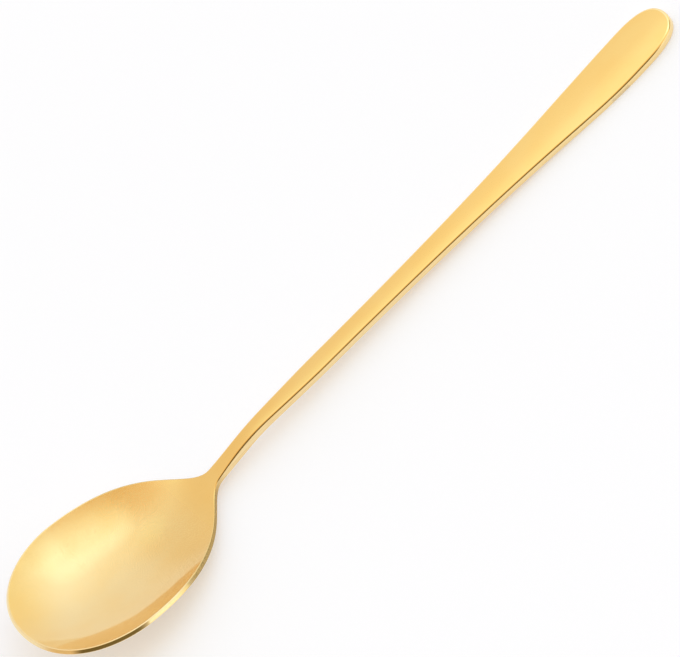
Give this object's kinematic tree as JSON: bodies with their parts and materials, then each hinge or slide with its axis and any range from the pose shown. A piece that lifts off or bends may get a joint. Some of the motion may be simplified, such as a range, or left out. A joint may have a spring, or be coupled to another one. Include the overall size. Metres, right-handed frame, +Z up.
{
  "type": "soup spoon",
  "caption": "Long-handled soup spoon with a wide egg-shaped bowl, a slim stem and a handle that widens to a rounded end, in mirror-polished gold-coloured metal.",
  "frame": {"origin": "on the table that the spoon lies on, below the middle of its length", "axes": "+X from the bowl's tip to the handle's end, +Z up out of the bowl, +Y to the left of the handle"},
  "size_m": [0.2051, 0.0392, 0.0138],
  "materials": {
    "gold_polish": "polished"
  },
  "bodies": {
    "root": {"bowl": "gold_polish", "handle": "gold_polish"}
  },
  "joints": []
}
